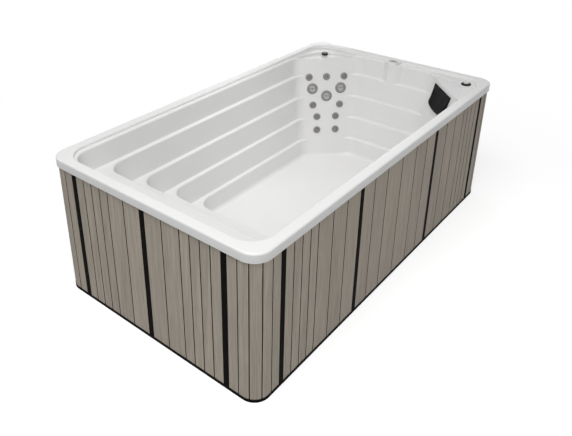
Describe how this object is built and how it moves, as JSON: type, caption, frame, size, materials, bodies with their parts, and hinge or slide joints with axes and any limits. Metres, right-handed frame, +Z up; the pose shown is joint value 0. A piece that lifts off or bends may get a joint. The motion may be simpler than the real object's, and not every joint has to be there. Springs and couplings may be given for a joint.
{
  "type": "swim spa",
  "caption": "Free-standing swim spa: moulded white tub with full-width steps, wall ledges and cut-off jet corners in a cabinet of upright wood-grain boards with black joint strips.",
  "frame": {"origin": "on the ground under the middle of the cabinet", "axes": "+Z up, +X along the length from the steps end to the jets end, +Y to the corner with the massage jets"},
  "size_m": [4, 2.24, 1.337],
  "materials": {
    "tub_acrylic": "white moulded acrylic, glossy",
    "cladding": "grey-brown wood-grain boards, matt",
    "black_trim": "black satin plastic",
    "base_plastic": "black moulded pan",
    "backer_sheet": "black sheet",
    "frame_steel": "galvanised steel",
    "bearer_timber": "planed softwood",
    "screw_steel": "zinc plated",
    "fitting_plastic": "white plastic",
    "hose_vinyl": "clear grey vinyl",
    "pipe_plastic": "white rigid pipe",
    "pillow_foam": "black moulded foam with a fine skin grain",
    "panel_grey": "grey satin plastic",
    "panel_glass": "dark clear window",
    "button_rubber": "light grey rubber",
    "black_knob": "black plastic",
    "jet_mid": "grey moulded plastic",
    "jet_dark": "dark grey moulded plastic",
    "jet_light": "light grey moulded plastic",
    "pump_plastic": "black glass-filled plastic",
    "motor_paint": "dark paint",
    "shaft_steel": "turned steel",
    "box_plastic": "grey plastic",
    "heater_steel": "stainless tube",
    "filter_paper": "pleated white fleece"
  },
  "bodies": {
    "tub": {"tub_shell": "tub_acrylic", "base_pan": "base_plastic", "base_trim": "black_trim", "bottom_frame": "frame_steel", "top_frame": "frame_steel", "frame_posts": "frame_steel", "floor_bearers": "bearer_timber", "long_side_boards": "cladding", "end_boards": "cladding", "corner_boards": "cladding", "panel_backers": "backer_sheet", "cover_strips": "black_trim", "panel_screws": "screw_steel", "small_jet_bodies": "fitting_plastic", "large_jet_bodies": "fitting_plastic", "jet_nuts": "fitting_plastic", "jet_hoses": "hose_vinyl", "manifolds": "pipe_plastic", "pillow": "pillow_foam", "panel_housing": "panel_grey", "panel_screen": "panel_glass", "air_valve_body": "fitting_plastic", "diverter_body": "fitting_plastic", "diverter_ring": "jet_dark", "pump_casings": "pump_plastic", "pump_motors": "motor_paint", "suction_covers": "jet_light", "pipes": "pipe_plastic", "control_box": "box_plastic", "heater_tube": "heater_steel", "filter_canister": "pump_plastic", "filter_lid": "pump_plastic", "filter_cartridge": "filter_paper"},
    "small_jet_1": {"small_jet_1": "jet_mid"},
    "small_jet_2": {"small_jet_2": "jet_mid"},
    "small_jet_3": {"small_jet_3": "jet_mid"},
    "small_jet_4": {"small_jet_4": "jet_mid"},
    "small_jet_5": {"small_jet_5": "jet_mid"},
    "small_jet_6": {"small_jet_6": "jet_mid"},
    "small_jet_7": {"small_jet_7": "jet_mid"},
    "small_jet_8": {"small_jet_8": "jet_mid"},
    "small_jet_9": {"small_jet_9": "jet_mid"},
    "large_jet_ring_1": {"large_jet_ring_1": "jet_dark"},
    "large_jet_rotor_1": {"large_jet_rotor_1": "jet_light"},
    "large_jet_ring_2": {"large_jet_ring_2": "jet_dark"},
    "large_jet_rotor_2": {"large_jet_rotor_2": "jet_light"},
    "large_jet_ring_3": {"large_jet_ring_3": "jet_dark"},
    "large_jet_rotor_3": {"large_jet_rotor_3": "jet_light"},
    "pillow_jet_1": {"pillow_jet_1": "jet_mid"},
    "pillow_jet_2": {"pillow_jet_2": "jet_mid"},
    "pillow_jet_3": {"pillow_jet_3": "jet_mid"},
    "pillow_jet_4": {"pillow_jet_4": "jet_mid"},
    "air_knob": {"air_knob": "black_knob"},
    "diverter_knob": {"diverter_knob": "jet_light"},
    "panel_button_1": {"panel_button_1": "button_rubber"},
    "panel_button_2": {"panel_button_2": "button_rubber"},
    "panel_button_3": {"panel_button_3": "button_rubber"},
    "panel_button_4": {"panel_button_4": "button_rubber"},
    "pump_rotor_1": {"pump_rotor_1": "shaft_steel"},
    "pump_rotor_2": {"pump_rotor_2": "shaft_steel"}
  },
  "joints": [
    {"name": "small_jet_1_turn", "type": "hinge", "parent": "tub", "child": "small_jet_1", "pos_m": [1.4387, 0.85851, 1.06], "axis": [-0.6953, -0.6953, 0.1819], "range_deg": [0, 90]},
    {"name": "small_jet_2_turn", "type": "hinge", "parent": "tub", "child": "small_jet_2", "pos_m": [1.5886, 0.7086, 1.06], "axis": [-0.6953, -0.6953, 0.1819], "range_deg": [0, 90]},
    {"name": "small_jet_3_turn", "type": "hinge", "parent": "tub", "child": "small_jet_3", "pos_m": [1.73851, 0.5587, 1.06], "axis": [-0.6953, -0.6953, 0.1819], "range_deg": [0, 90]},
    {"name": "small_jet_4_turn", "type": "hinge", "parent": "tub", "child": "small_jet_4", "pos_m": [1.42926, 0.77978, 0.723], "axis": [-0.6953, -0.6953, 0.1819], "range_deg": [0, 90]},
    {"name": "small_jet_5_turn", "type": "hinge", "parent": "tub", "child": "small_jet_5", "pos_m": [1.65978, 0.54926, 0.723], "axis": [-0.6953, -0.6953, 0.1819], "range_deg": [0, 90]},
    {"name": "small_jet_6_turn", "type": "hinge", "parent": "tub", "child": "small_jet_6", "pos_m": [1.4452, 0.72642, 0.58], "axis": [-0.6953, -0.6953, 0.1819], "range_deg": [0, 90]},
    {"name": "small_jet_7_turn", "type": "hinge", "parent": "tub", "child": "small_jet_7", "pos_m": [1.60642, 0.5652, 0.58], "axis": [-0.6953, -0.6953, 0.1819], "range_deg": [0, 90]},
    {"name": "small_jet_8_turn", "type": "hinge", "parent": "tub", "child": "small_jet_8", "pos_m": [1.42388, 0.7051, 0.417], "axis": [-0.6953, -0.6953, 0.1819], "range_deg": [0, 90]},
    {"name": "small_jet_9_turn", "type": "hinge", "parent": "tub", "child": "small_jet_9", "pos_m": [1.5851, 0.54388, 0.417], "axis": [-0.6953, -0.6953, 0.1819], "range_deg": [0, 90]},
    {"name": "large_jet_ring_1_turn", "type": "hinge", "parent": "tub", "child": "large_jet_ring_1", "pos_m": [1.44893, 0.81217, 0.922], "axis": [-0.6953, -0.6953, 0.1819], "range_deg": [0, 90]},
    {"name": "large_jet_rotor_1_spin", "type": "hinge", "parent": "large_jet_ring_1", "child": "large_jet_rotor_1", "pos_m": [1.44893, 0.81217, 0.922], "axis": [-0.6953, -0.6953, 0.1819], "continuous": true},
    {"name": "large_jet_ring_2_turn", "type": "hinge", "parent": "tub", "child": "large_jet_ring_2", "pos_m": [1.69217, 0.56893, 0.922], "axis": [-0.6953, -0.6953, 0.1819], "range_deg": [0, 90]},
    {"name": "large_jet_rotor_2_spin", "type": "hinge", "parent": "large_jet_ring_2", "child": "large_jet_rotor_2", "pos_m": [1.69217, 0.56893, 0.922], "axis": [-0.6953, -0.6953, 0.1819], "continuous": true},
    {"name": "large_jet_ring_3_turn", "type": "hinge", "parent": "tub", "child": "large_jet_ring_3", "pos_m": [1.55839, 0.67839, 0.829], "axis": [-0.6953, -0.6953, 0.1819], "range_deg": [0, 90]},
    {"name": "large_jet_rotor_3_spin", "type": "hinge", "parent": "large_jet_ring_3", "child": "large_jet_rotor_3", "pos_m": [1.55839, 0.67839, 0.829], "axis": [-0.6953, -0.6953, 0.1819], "continuous": true},
    {"name": "pillow_jet_1_turn", "type": "hinge", "parent": "tub", "child": "pillow_jet_1", "pos_m": [1.60642, -0.5652, 0.58], "axis": [-0.6953, 0.6953, 0.1819], "range_deg": [0, 90]},
    {"name": "pillow_jet_2_turn", "type": "hinge", "parent": "tub", "child": "pillow_jet_2", "pos_m": [1.4452, -0.72642, 0.58], "axis": [-0.6953, 0.6953, 0.1819], "range_deg": [0, 90]},
    {"name": "pillow_jet_3_turn", "type": "hinge", "parent": "tub", "child": "pillow_jet_3", "pos_m": [1.5851, -0.54388, 0.417], "axis": [-0.6953, 0.6953, 0.1819], "range_deg": [0, 90]},
    {"name": "pillow_jet_4_turn", "type": "hinge", "parent": "tub", "child": "pillow_jet_4", "pos_m": [1.42388, -0.7051, 0.417], "axis": [-0.6953, 0.6953, 0.1819], "range_deg": [0, 90]},
    {"name": "air_knob_turn", "type": "hinge", "parent": "tub", "child": "air_knob", "pos_m": [1.6992, 0.8192, 1.28], "axis": [0, 0, 1], "range_deg": [0, 180]},
    {"name": "diverter_knob_turn", "type": "hinge", "parent": "tub", "child": "diverter_knob", "pos_m": [1.78193, -0.90193, 1.3], "axis": [0, 0, 1], "range_deg": [-90, 90]},
    {"name": "panel_button_1_press", "type": "slide", "parent": "tub", "child": "panel_button_1", "axis": [0, 0, -1], "range_m": [0, 0.001], "stiffness_N_per_m": 400},
    {"name": "panel_button_2_press", "type": "slide", "parent": "tub", "child": "panel_button_2", "axis": [0, 0, -1], "range_m": [0, 0.001], "stiffness_N_per_m": 400},
    {"name": "panel_button_3_press", "type": "slide", "parent": "tub", "child": "panel_button_3", "axis": [0, 0, -1], "range_m": [0, 0.001], "stiffness_N_per_m": 400},
    {"name": "panel_button_4_press", "type": "slide", "parent": "tub", "child": "panel_button_4", "axis": [0, 0, -1], "range_m": [0, 0.001], "stiffness_N_per_m": 400},
    {"name": "pump_rotor_1_spin", "type": "hinge", "parent": "tub", "child": "pump_rotor_1", "pos_m": [-1.3, -0.3, 0.21], "axis": [1, 0, 0], "continuous": true},
    {"name": "pump_rotor_2_spin", "type": "hinge", "parent": "tub", "child": "pump_rotor_2", "pos_m": [-1.3, 0.3, 0.21], "axis": [1, 0, 0], "continuous": true}
  ]
}
